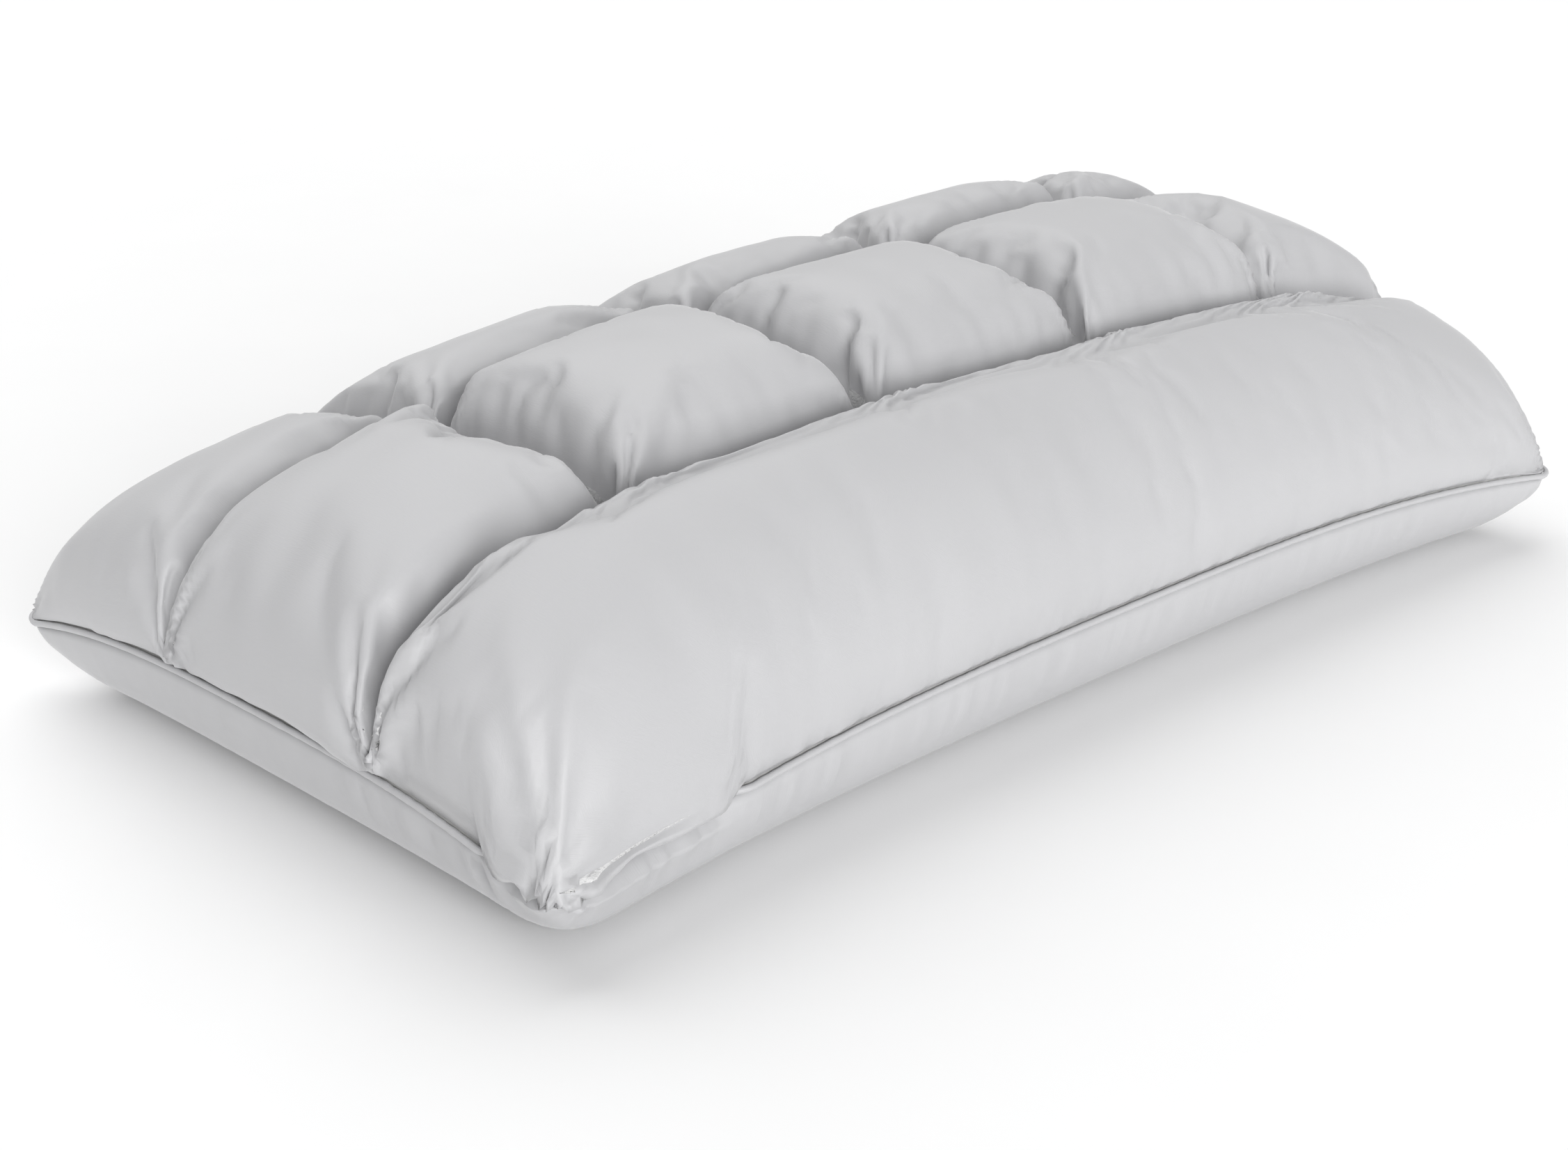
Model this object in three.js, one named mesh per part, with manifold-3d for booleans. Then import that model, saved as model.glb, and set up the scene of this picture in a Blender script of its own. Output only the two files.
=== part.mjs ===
// A chambered bed pillow, in millimetres, +Z up, origin on the floor under its middle.
// The quilted top panel is sewn down to a domed lining, which makes one long roll along the
// front (-Y) and two rows of five square chambers behind it, each with its own fibre filling.
// Under the lining a moulded foam core lies in a pocket that the bottom panel closes.
// A corded piping runs round the seam, and a zip in the back wall (+Y) lets the core out.
import * as THREE from "three";
import Module from "manifold-3d";

const wasm = await Module();
wasm.setup();

// ---- Driving dimensions ----
const LENGTH = 700; // seam to seam along X, at the corners
const WIDTH = 390; // seam to seam along Y, at the corners
const CORNER_RADIUS = 14; // of the seam, seen from above
const PULL_IN = 15; // how far the middle of each long seam draws in
const SEAM_HEIGHT = 52; // of the seam above the floor, halfway along a side
const CORNER_DROP = 15; // how much lower the seam lies at a corner
const UNDERSIDE_REACH = 43; // from the seam in to where the underside meets the floor

const DOME_RISE = 92; // of the lining above the seam, in the middle
const ROW_SEAM_FRONT = -83; // Y of the long quilt seam behind the front roll
const ROW_SEAM_BACK = 51; // Y of the long quilt seam between the two rows of chambers
const CHAMBER_PITCH = 152; // between neighbouring cross seams
const PATTERN_SHIFT = 8; // of the cross seams along X, off the pillow's middle
const FRONT_LOFT = 43; // thickness of the front roll over the lining
const MIDDLE_LOFT = 37; // thickness of the middle row's chambers
const BACK_LOFT = 40; // thickness of the back row's chambers

const PANEL = 1.2; // thickness of a shell panel
const LINING = 0.8; // thickness of the lining
const CLEARANCE = 0.5; // between neighbouring layers
const FILL_GAP = 0.6; // between a filling and the cloth round it
const CORE_GAP = 6; // between the foam core and the cloth round it
const CORE_INSET = 27; // of the core's ends and sides from the seam
const CORE_ROUNDING = 60; // radius of the core's corners, seen from above
const CORE_EDGE = 14; // how far the core's top edge is rounded down

const CORD_RADIUS = 1.1; // of the cord inside the piping
const CORD_GAP = 0.3; // between the cord and the strip round it
const PIPING_CLOTH = 0.4; // thickness of the bias strip round the cord
const FLANGE = 8; // depth of the piping's sewn edge, inwards from the seam
const FLANGE_SLIT = 0.2; // between the two plies of that edge

const ZIP_OPENING = 440; // travel of the slider
const ZIP_DEPTH = 9; // of the zip's centre line under the seam
const TAPE_THICKNESS = 0.6;
const TAPE_WIDTH = 8; // from the centre line to the tape's sewn edge
const COIL_WIDTH = 2.4; // of each of the two coils, across the zip
const COIL_THICKNESS = 2.2;
const COIL_GAP = 1.8; // between the two coils, where the slider's neck runs
const COIL_PITCH = 5; // between the coil's turns
const TAPE_MARGIN = 14; // of tape past each end of the coils
const NOTCH_HALF = 6; // from the centre line to the bottom panel's edge
const SLIDER_LENGTH = 15;
const SLIDER_WALL = 0.9;
const SLIDER_WIDTH = 9;
const NECK = 1; // thickness of the wedge that joins the slider's two plates
const RUNNING_GAP = 0.4; // between the slider and what it runs on
const STOP_LENGTH = 2.5;
const BAIL_HEIGHT = 3.4; // of the slider's bail above its front plate
const BAIL_LENGTH = 7;
const PULLER_LENGTH = 24;
const PULLER_WIDTH = 6.4;
const PULLER_THICKNESS = 1.2;

const COTTON = new THREE.MeshStandardMaterial({ color: 0xe3e3e8, roughness: 0.75 });
const LINING_CLOTH = new THREE.MeshStandardMaterial({ color: 0xf2f2f0, roughness: 0.9 });
const FIBRE = new THREE.MeshStandardMaterial({ color: 0xf7f7f7, roughness: 1 });
const FOAM = new THREE.MeshStandardMaterial({ color: 0xf0ead2, roughness: 0.95 });
const CORD = new THREE.MeshStandardMaterial({ color: 0xefece2, roughness: 0.95 });
const TAPE = new THREE.MeshStandardMaterial({ color: 0xececee, roughness: 0.85 });
const NYLON = new THREE.MeshStandardMaterial({ color: 0xf4f4f4, roughness: 0.4 });
const ENAMEL = new THREE.MeshStandardMaterial({
  color: 0xe9e9ea,
  roughness: 0.3,
  metalness: 0.2,
});

// ---- Plan and heights ----
// A point of the pillow is given by u and v, which run from -1 to 1 along X and Y.

const FLANGE_STACK = CLEARANCE / 2 + 2 * PIPING_CLOTH + FLANGE_SLIT; // seam to its lower face

const halfLength = LENGTH / 2;
const halfWidth = WIDTH / 2;
const zipReach = ZIP_OPENING / 2 + SLIDER_LENGTH + TAPE_MARGIN;
const straightShare = zipReach / halfLength; // the back seam is straight past the zip

// 0 in the middle of a side, rising to 1 where the corner's rounding starts.
function towardsCorner(s, radius, half) {
  return Math.min(1, Math.abs(s) / (1 - radius / half)) ** 3;
}

// The same along the back seam, which stays straight for the zip.
function towardsBackCorner(u) {
  const end = 1 - CORNER_RADIUS / halfLength;
  const t = (Math.abs(u) - straightShare) / (end - straightShare);
  return Math.min(1, Math.max(0, t)) ** 2;
}

function alongSeam(u, v) {
  return v < 0 ? towardsCorner(u, CORNER_RADIUS, halfLength) : towardsBackCorner(u);
}

// X and Y of (u, v). Each corner's square is drawn onto a quarter disc, which rounds it.
function plan(u, v) {
  let x = Math.abs(u) * halfLength;
  let y = Math.abs(v) * halfWidth;
  const r = CORNER_RADIUS;
  const px = (x - halfLength + r) / r;
  const py = (y - halfWidth + r) / r;
  if (px > 0 && py > 0) {
    x += r * px * (Math.sqrt(1 - (py * py) / 2) - 1);
    y += r * py * (Math.sqrt(1 - (px * px) / 2) - 1);
  }
  y *= 1 - (PULL_IN / halfWidth) * (1 - alongSeam(u, v));
  return [Math.sign(u) * x, Math.sign(v) * y];
}

function seamHeight(u, v) {
  return SEAM_HEIGHT - CORNER_DROP * alongSeam(u, v) * towardsCorner(v, CORNER_RADIUS, halfWidth);
}

// The lining: a dome over the seam, flat in the middle and steep at its edge.
function liningHeight(u, v) {
  const lengthwise = (1 - Math.abs(u) ** 5) ** 0.65;
  const crosswise = (1 - Math.abs(v) ** 2.2) ** 0.8;
  return seamHeight(u, v) + CLEARANCE + DOME_RISE * lengthwise * crosswise;
}

// The underside: flat on the floor, and a quarter of an ellipse up to the piping's sewn edge.
function quarterDrop(inset) {
  const t = Math.min(1, inset / UNDERSIDE_REACH);
  return Math.sqrt(1 - (1 - t) ** 2);
}

function undersideHeight(u, v) {
  const rim = seamHeight(u, v) - FLANGE_STACK - 2 * CLEARANCE - PANEL;
  const lengthwise = quarterDrop((1 - Math.abs(u)) * halfLength);
  const crosswise = quarterDrop((1 - Math.abs(v)) * (halfWidth - PULL_IN));
  return rim * (1 - lengthwise * crosswise);
}

// ---- The quilting pattern, in u and v ----

const middleHalfWidth = halfWidth - PULL_IN;
const rowEdges = [-1, ROW_SEAM_FRONT / middleHalfWidth, ROW_SEAM_BACK / middleHalfWidth, 1];
const crossSeams = [-1.5, -0.5, 0.5, 1.5].map((i) => (PATTERN_SHIFT + i * CHAMBER_PITCH) / halfLength);
const columnEdges = [-1, ...crossSeams, 1];
const ROWS = [
  { name: "front_roll", loft: FRONT_LOFT, columns: [-1, 1] }, // one chamber, with no cross seams
  { name: "middle", loft: MIDDLE_LOFT, columns: columnEdges },
  { name: "back", loft: BACK_LOFT, columns: columnEdges },
];
// Shares of a chamber's half width, close together at its edges, where the cloth is steep.
const CHAMBER_STEPS = [-1, -0.92, -0.65, 0, 0.65, 0.92, 1];

// The places between the edges a and b that CHAMBER_STEPS gives.
function stepsBetween(a, b) {
  return CHAMBER_STEPS.map((s) => (a + b) / 2 + (s * (b - a)) / 2);
}

function stepsAcross(edges) {
  const all = edges.slice(1).flatMap((b, i) => stepsBetween(edges[i], b).slice(1));
  return [edges[0], ...all];
}

// The steps of every layer that is sewn into the seam, so that they share its corners.
const stepsU = stepsAcross(columnEdges);
const stepsV = stepsAcross(rowEdges);

// 0 at a chamber's seams, rising steeply to 1 in its middle, or half a pitch in if that is less.
function crown(s, edges) {
  const i = Math.max(1, edges.findIndex((edge) => s <= edge + 1e-9));
  const half = (edges[i] - edges[i - 1]) / 2;
  const reach = Math.min(half, CHAMBER_PITCH / 2 / middleHalfWidth);
  const toSeam = half - Math.abs(s - (edges[i] + edges[i - 1]) / 2);
  return Math.sqrt(Math.max(0, 1 - Math.max(0, 1 - toSeam / reach) ** 2.5));
}

// The loft over the lining. On a row's edge it is 0 for both rows, so either may be asked.
function loft(u, v) {
  const row = v <= rowEdges[1] ? ROWS[0] : v <= rowEdges[2] ? ROWS[1] : ROWS[2];
  return row.loft * crown(u, row.columns) * crown(v, rowEdges);
}

// The outside of the top panel.
function topHeight(u, v) {
  return liningHeight(u, v) + LINING + CLEARANCE + PANEL + loft(u, v);
}

// ---- Mesh helpers ----

// A point on the surface that height gives, moved by offset along its upward normal.
function surfacePoint(u, v, height, offset) {
  const step = 1e-3;
  const at = (a, b) => {
    const s = Math.min(1, Math.max(-1, a));
    const t = Math.min(1, Math.max(-1, b));
    return new THREE.Vector3(...plan(s, t), height(s, t));
  };
  const along = at(u + step, v).sub(at(u - step, v));
  const across = at(u, v + step).sub(at(u, v - step));
  return at(u, v).addScaledVector(along.cross(across).normalize(), offset);
}

// The same, but straight up or down where the panel is sewn through.
function panelPoint(u, v, height, offset, sewn) {
  if (!sewn) return surfacePoint(u, v, height, offset);
  return new THREE.Vector3(...plan(u, v), height(u, v) + offset);
}

function meshGeometry(points, triangles) {
  const geometry = new THREE.BufferGeometry();
  geometry.setAttribute("position", new THREE.Float32BufferAttribute(points.flat(), 3));
  geometry.setIndex(triangles.flat());
  geometry.computeVertexNormals();
  return geometry;
}

// A closed solid over the grid us x vs. upper and lower give a point for each (u, v).
function layer(us, vs, upper, lower) {
  const points = [upper, lower].flatMap((at) => us.flatMap((u) => vs.map((v) => at(u, v).toArray())));
  const m = vs.length;
  const under = us.length * m;
  const triangles = [];
  const quad = (a, b, c, d) => triangles.push([a, b, c], [a, c, d]);
  for (let i = 0; i + 1 < us.length; i++) {
    for (let j = 0; j + 1 < m; j++) {
      const a = i * m + j;
      quad(a, a + m, a + m + 1, a + 1);
      quad(under + a, under + a + 1, under + a + m + 1, under + a + m);
    }
  }
  const last = (us.length - 1) * m;
  for (let i = 0; i < last; i += m) {
    quad(under + i, under + i + m, i + m, i);
    quad(i + m - 1, i + 2 * m - 1, under + i + 2 * m - 1, under + i + m - 1);
  }
  for (let j = 0; j + 1 < m; j++) {
    quad(j, j + 1, under + j + 1, under + j);
    quad(under + last + j, under + last + j + 1, last + j + 1, last + j);
  }
  return meshGeometry(points, triangles);
}

// A section, listed as [outwards, up] points, carried round the closed seam.
function roundTheSeam(section) {
  const path = seamPath();
  const n = section.length;
  const points = path.flatMap((p) =>
    section.map(([out, up]) => [p.x + p.nx * out, p.y + p.ny * out, p.z + up]),
  );
  const triangles = [];
  path.forEach((_, i) => {
    const next = ((i + 1) % path.length) * n;
    for (let j = 0; j < n; j++) {
      const k = (j + 1) % n;
      triangles.push([i * n + j, next + j, next + k], [i * n + j, next + k, i * n + k]);
    }
  });
  return meshGeometry(points, triangles);
}

// Points round the seam, anticlockwise from above, each with its outward direction.
function seamPath() {
  const ring = [
    ...stepsU.slice(0, -1).map((u) => [u, -1]),
    ...stepsV.slice(0, -1).map((v) => [1, v]),
    ...stepsU.slice(1).reverse().map((u) => [u, 1]),
    ...stepsV.slice(1).reverse().map((v) => [-1, v]),
  ];
  const seam = ring.map(([u, v]) => {
    const [x, y] = plan(u, v);
    return { x, y, z: seamHeight(u, v) };
  });
  return seam.map((p, i) => {
    const before = seam[(i + seam.length - 1) % seam.length];
    const after = seam[(i + 1) % seam.length];
    const length = Math.hypot(after.x - before.x, after.y - before.y);
    return { ...p, nx: (after.y - before.y) / length, ny: (before.x - after.x) / length };
  });
}

function box(x, y, z) {
  return new THREE.BoxGeometry(x[1] - x[0], y[1] - y[0], z[1] - z[0]).translate(
    (x[0] + x[1]) / 2,
    (y[0] + y[1]) / 2,
    (z[0] + z[1]) / 2,
  );
}

// A closed geometry as a manifold-3d solid, with its shared corners merged by position.
function solid(geometry) {
  const position = geometry.getAttribute("position");
  const order = geometry.index ? Array.from(geometry.index.array) : [...Array(position.count).keys()];
  const known = new Map();
  const vertices = [];
  const triangles = order.map((i) => {
    const p = [position.getX(i), position.getY(i), position.getZ(i)];
    const key = p.map((c) => Math.round(c * 1e4)).join();
    if (!known.has(key)) {
      known.set(key, vertices.length / 3);
      vertices.push(...p);
    }
    return known.get(key);
  });
  return new wasm.Manifold(
    new wasm.Mesh({
      numProp: 3,
      vertProperties: new Float32Array(vertices),
      triVerts: new Uint32Array(triangles),
    }),
  );
}

function geometryOf(manifold) {
  const mesh = manifold.getMesh();
  const geometry = new THREE.BufferGeometry();
  geometry.setAttribute("position", new THREE.Float32BufferAttribute(mesh.vertProperties, 3));
  geometry.setIndex(Array.from(mesh.triVerts));
  return geometry;
}

const pillow = new THREE.Group();

function addPiece(name, geometry, material) {
  const mesh = new THREE.Mesh(geometry, material);
  mesh.name = name;
  pillow.add(mesh);
}

// ---- Shell, lining and fillings ----

function addTopPanel() {
  const panel = layer(
    stepsU,
    stepsV,
    (u, v) => panelPoint(u, v, topHeight, 0, true),
    (u, v) => panelPoint(u, v, topHeight, -PANEL, loft(u, v) < 1e-3),
  );
  addPiece("top_panel", panel, COTTON);
}

function addLining() {
  const at = (lift) => (u, v) => new THREE.Vector3(...plan(u, v), liningHeight(u, v) + lift);
  addPiece("chamber_lining", layer(stepsU, stepsV, at(LINING), at(0)), LINING_CLOTH);
}

function addFilling(name, columns, rows) {
  const between = (steps, [a, b]) => steps.filter((s) => s > a + 1e-9 && s < b - 1e-9);
  const upper = (u, v) => surfacePoint(u, v, topHeight, -PANEL - FILL_GAP);
  const lower = (u, v) =>
    new THREE.Vector3(...plan(u, v), liningHeight(u, v) + LINING + CLEARANCE);
  addPiece(name, layer(between(stepsU, columns), between(stepsV, rows), upper, lower), FIBRE);
}

function addFillings() {
  ROWS.forEach((row, r) => {
    row.columns.slice(1).forEach((right, c) => {
      const name = row.columns.length === 2 ? `fill_${row.name}` : `fill_${row.name}_${c + 1}`;
      addFilling(name, [row.columns[c], right], [rowEdges[r], rowEdges[r + 1]]);
    });
  });
}

// ---- Bottom panel and core ----

// Steps from edge to edge, close together where the underside curves up, with middle between.
function insetSteps(half, middle) {
  const near = [0, 0.6, 2.2, 6, 13, 24, UNDERSIDE_REACH].map((inset) => 1 - inset / half);
  return [...near.map((s) => -s), ...middle, ...near.reverse()];
}

function addBottomPanel() {
  const shell = layer(
    insetSteps(halfLength, [-1, -0.5, 0, 0.5, 1].map((s) => s * straightShare)),
    insetSteps(middleHalfWidth, [-0.4, 0, 0.4]),
    (u, v) => panelPoint(u, v, undersideHeight, PANEL, Math.max(Math.abs(u), Math.abs(v)) === 1),
    (u, v) => panelPoint(u, v, undersideHeight, 0, true),
  );
  const notch = box(
    [-zipReach, zipReach],
    [middleHalfWidth - UNDERSIDE_REACH / 2, halfWidth],
    [zipHeight - NOTCH_HALF, SEAM_HEIGHT],
  );
  addPiece("bottom_panel", geometryOf(solid(shell).subtract(solid(notch))), COTTON);
}

// The core keeps CORE_GAP from the lining and the bottom panel, and CORE_INSET from the seam.
function addFoamCore() {
  const reachU = 1 - CORE_INSET / halfLength;
  const reachV = 1 - CORE_INSET / middleHalfWidth;
  const shares = [-1, -0.97, -0.9, -0.75, -0.45, 0, 0.45, 0.75, 0.9, 0.97, 1];
  // The core's edges are rounded over the last tenth of its length and width.
  const edge = (s, t) => Math.max(0, Math.max(Math.abs(s), Math.abs(t)) * 10 - 9) ** 2;
  const upper = (s, t) => {
    const [u, v] = roundedShare(s, t, reachU, reachV);
    const z = liningHeight(u, v) - CORE_GAP - CORE_EDGE * edge(s, t);
    return new THREE.Vector3(...plan(u, v), z);
  };
  const lower = (s, t) => {
    const [u, v] = roundedShare(s, t, reachU, reachV);
    const z = undersideHeight(u, v) + PANEL + CORE_GAP + (CORE_EDGE / 2) * edge(s, t);
    return new THREE.Vector3(...plan(u, v), z);
  };
  addPiece("foam_core", layer(shares, shares, upper, lower), FOAM);
}

// The square of shares s, t drawn onto the core's outline, whose corners have CORE_ROUNDING.
function roundedShare(s, t, reachU, reachV) {
  const ru = CORE_ROUNDING / (halfLength * reachU);
  const rv = CORE_ROUNDING / (middleHalfWidth * reachV);
  const px = (Math.abs(s) - 1 + ru) / ru;
  const py = (Math.abs(t) - 1 + rv) / rv;
  let [a, b] = [Math.abs(s), Math.abs(t)];
  if (px > 0 && py > 0) {
    a += ru * px * (Math.sqrt(1 - (py * py) / 2) - 1);
    b += rv * py * (Math.sqrt(1 - (px * px) / 2) - 1);
  }
  return [Math.sign(s) * a * reachU, Math.sign(t) * b * reachV];
}

// ---- Piping ----

const pipingBore = CORD_RADIUS + CORD_GAP;
const pipingRadius = pipingBore + PIPING_CLOTH;
const pipingOut = pipingRadius + 0.4; // from the seam to the cord's middle
const flangeMiddle = -CLEARANCE / 2 - PIPING_CLOTH - FLANGE_SLIT / 2; // height over the seam

function addPiping() {
  const arc = (radius, gap, count, middle) => {
    const start = Math.asin(gap / 2 / radius);
    return Array.from({ length: count }, (_, i) => {
      const angle = Math.PI - start - ((2 * Math.PI - 2 * start) * i) / (count - 1);
      return [middle + radius * Math.cos(angle), flangeMiddle + radius * Math.sin(angle)];
    });
  };
  const outside = arc(pipingRadius, 2 * PIPING_CLOTH + FLANGE_SLIT, 8, pipingOut);
  const inside = arc(pipingBore, FLANGE_SLIT, 6, pipingOut).reverse();
  const plies = (up) => [[-FLANGE, flangeMiddle + up * (PIPING_CLOTH + FLANGE_SLIT / 2)]];
  const slit = (up) => [[-FLANGE, flangeMiddle + (up * FLANGE_SLIT) / 2]];
  const section = [...plies(1), ...outside, ...plies(-1), ...slit(-1), ...inside, ...slit(1)];
  addPiece("piping_cover", roundTheSeam(section.reverse()), COTTON);

  const cord = Array.from({ length: 6 }, (_, i) => {
    const angle = (i * Math.PI) / 3;
    return [pipingOut + CORD_RADIUS * Math.cos(angle), flangeMiddle + CORD_RADIUS * Math.sin(angle)];
  });
  addPiece("piping_cord", roundTheSeam(cord), CORD);
}

// ---- Zip ----

const zipHeight = SEAM_HEIGHT - ZIP_DEPTH;
// How far in from the seam the back wall lies at the tape's lower edge.
const wallDrop = (ZIP_DEPTH + TAPE_WIDTH) / SEAM_HEIGHT;
const wallInset = UNDERSIDE_REACH * (1 - Math.sqrt(1 - wallDrop ** 2));
// The tapes lie just inside the bottom panel's back wall, and the coils on their outside.
const tapeBack = middleHalfWidth - wallInset - PANEL - 2 * CLEARANCE - TAPE_THICKNESS;
const coilBack = tapeBack + TAPE_THICKNESS + 0.3;
const coilFront = coilBack + COIL_THICKNESS;
const zipEnd = ZIP_OPENING / 2 + SLIDER_LENGTH / 2; // the slider's closed end, at rest

function addTape(name, side) {
  const near = COIL_GAP / 2;
  const far = side > 0 ? ZIP_DEPTH - FLANGE_STACK - CLEARANCE : TAPE_WIDTH;
  const z = [zipHeight + side * near, zipHeight + side * far].sort((a, b) => a - b);
  const x = zipReach - 1;
  addPiece(name, box([-x, x], [tapeBack, tapeBack + TAPE_THICKNESS], z), TAPE);
}

// One side of the coil: a strip with a tooth at each turn of the monofilament.
function addCoil(name, side) {
  const inner = COIL_GAP / 2;
  const start = -zipEnd;
  const turns = Math.round((2 * zipEnd) / COIL_PITCH);
  const pitch = (2 * zipEnd) / turns;
  const outline = new THREE.Shape();
  outline.moveTo(start, inner + COIL_WIDTH);
  for (let i = 0; i < turns; i++) {
    const x = start + i * pitch;
    outline.lineTo(x, inner + COIL_WIDTH * 0.45);
    outline.lineTo(x + pitch * 0.3, inner);
    outline.lineTo(x + pitch * 0.7, inner);
  }
  outline.lineTo(zipEnd, inner + COIL_WIDTH * 0.45);
  outline.lineTo(zipEnd, inner + COIL_WIDTH);
  const strip = new THREE.ExtrudeGeometry(outline, { depth: COIL_THICKNESS, bevelEnabled: false });
  strip.rotateX(side > 0 ? Math.PI / 2 : -Math.PI / 2);
  strip.translate(0, side > 0 ? coilFront : coilBack, zipHeight);
  addPiece(name, strip, NYLON);
}

function addStop(name, x) {
  const half = COIL_GAP / 2 + COIL_WIDTH;
  addPiece(
    name,
    box([x - STOP_LENGTH / 2, x + STOP_LENGTH / 2], [coilBack, coilFront], [zipHeight - half, zipHeight + half]),
    NYLON,
  );
}

const sliderMiddle = ZIP_OPENING / 2; // X of the slider's middle, closed
const frontPlate = coilFront + RUNNING_GAP;
const backPlate = tapeBack - RUNNING_GAP;
const bailPivot = { x: sliderMiddle - 1, y: frontPlate + SLIDER_WALL + BAIL_HEIGHT / 2 };

// Two plates joined by a neck between the coils, with a bail for the puller on the outer one.
function addSlider() {
  const x = [sliderMiddle - SLIDER_LENGTH / 2, sliderMiddle + SLIDER_LENGTH / 2];
  const z = [zipHeight - SLIDER_WIDTH / 2, zipHeight + SLIDER_WIDTH / 2];
  const outer = box(x, [frontPlate, frontPlate + SLIDER_WALL], z);
  const inner = box(x, [backPlate - SLIDER_WALL, backPlate], z);
  const neck = box([x[1] - 4, x[1] - 1], [backPlate - SLIDER_WALL / 2, frontPlate + SLIDER_WALL / 2], [
    zipHeight - NECK / 2,
    zipHeight + NECK / 2,
  ]);
  const lip = (side) => {
    const edge = zipHeight + side * (SLIDER_WIDTH / 2 - SLIDER_WALL / 2);
    return box(x, [coilBack + RUNNING_GAP, frontPlate + SLIDER_WALL / 2], [
      edge - SLIDER_WALL / 2,
      edge + SLIDER_WALL / 2,
    ]);
  };
  const bail = bailSolid();
  const whole = [inner, neck, lip(1), lip(-1)].reduce((sum, g) => sum.add(solid(g)), solid(outer));
  addPiece("zip_slider", geometryOf(whole.add(bail)), ENAMEL);
}

// A flat arch along X, whose window the puller's bar passes through.
function bailSolid() {
  const arch = new THREE.Shape();
  const half = BAIL_LENGTH / 2;
  arch.moveTo(-half, -SLIDER_WALL / 2);
  arch.lineTo(half, -SLIDER_WALL / 2);
  arch.lineTo(half - 1, BAIL_HEIGHT);
  arch.lineTo(-half + 1, BAIL_HEIGHT);
  const opening = new THREE.Path();
  opening.moveTo(-half + 1.6, 0.5);
  opening.lineTo(-half + 2, BAIL_HEIGHT - 0.8);
  opening.lineTo(half - 2, BAIL_HEIGHT - 0.8);
  opening.lineTo(half - 1.6, 0.5);
  arch.holes.push(opening);
  const thickness = 1.6;
  const made = new THREE.ExtrudeGeometry(arch, { depth: thickness, bevelEnabled: false });
  // The extrusion's Y becomes the row's Y, and its depth runs across the zip.
  made.translate(bailPivot.x, frontPlate + SLIDER_WALL, zipHeight - thickness / 2);
  return solid(made);
}

// The puller hangs on the bail by a bar at its slotted end, and lies flat along the zip.
function addPuller() {
  const bar = 1.1;
  const window = 3;
  const half = PULLER_WIDTH / 2;
  const tab = new THREE.Shape();
  tab.moveTo(bar / 2, -half);
  tab.lineTo(bar / 2, half);
  tab.lineTo(-PULLER_LENGTH + half, half * 0.8);
  tab.absarc(-PULLER_LENGTH + half, 0, half * 0.8, Math.PI / 2, (3 * Math.PI) / 2, false);
  const slot = new THREE.Path();
  slot.moveTo(-bar / 2, -half + 1.2);
  slot.lineTo(-bar / 2 - window, -half + 1.2);
  slot.lineTo(-bar / 2 - window, half - 1.2);
  slot.lineTo(-bar / 2, half - 1.2);
  tab.holes.push(slot);
  const made = new THREE.ExtrudeGeometry(tab, { depth: PULLER_THICKNESS, bevelEnabled: false, curveSegments: 8 });
  made.translate(0, 0, -PULLER_THICKNESS / 2).rotateX(-Math.PI / 2);
  made.translate(bailPivot.x, bailPivot.y, zipHeight);
  addPiece("zip_puller", made, ENAMEL);
}

function addZip() {
  addTape("zip_tape_upper", 1);
  addTape("zip_tape_lower", -1);
  addCoil("zip_coil_upper", 1);
  addCoil("zip_coil_lower", -1);
  addStop("zip_stop_closed", zipEnd + STOP_LENGTH);
  addStop("zip_stop_open", -zipEnd - STOP_LENGTH);
  addSlider();
  addPuller();
}

addTopPanel();
addLining();
addFillings();
addBottomPanel();
addFoamCore();
addPiping();
addZip();

export default pillow;
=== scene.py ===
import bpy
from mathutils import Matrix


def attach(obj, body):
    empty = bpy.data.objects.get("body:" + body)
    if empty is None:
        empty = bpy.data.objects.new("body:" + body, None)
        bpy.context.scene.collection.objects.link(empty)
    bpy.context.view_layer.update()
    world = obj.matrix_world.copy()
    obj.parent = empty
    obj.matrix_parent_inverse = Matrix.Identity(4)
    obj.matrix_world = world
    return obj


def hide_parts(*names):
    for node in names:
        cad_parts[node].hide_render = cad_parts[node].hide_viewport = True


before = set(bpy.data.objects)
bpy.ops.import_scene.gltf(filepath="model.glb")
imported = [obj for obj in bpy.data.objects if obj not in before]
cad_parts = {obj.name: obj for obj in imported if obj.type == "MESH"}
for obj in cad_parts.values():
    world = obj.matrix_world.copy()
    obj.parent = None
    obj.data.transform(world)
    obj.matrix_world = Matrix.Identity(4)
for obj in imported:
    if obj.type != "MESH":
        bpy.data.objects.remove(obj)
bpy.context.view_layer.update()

# %% [markdown]
# # A quilted bed pillow
#
# The pillow is a stuffed cloth form: a quilted top panel over a fibre filling, a bottom panel
# round a foam core, a thin piping in the seam between them, and a zip in the back wall. Nearly
# all that shows is cloth, so the work goes into how the cloth is pulled in at its seams and how
# it swells between them. The cloth is worked out in two steps: a formula gives the rough form on
# a grid, and Blender's cloth simulation then lets it swell and wrinkle while its seams stay put.
#
# All lengths are in metres. X runs along the pillow, Y from the front roll to the back, Z up.

# %% Helpers that every step uses
import math

import bpy
import numpy as np
from mathutils import Vector

scene = bpy.context.scene


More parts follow.
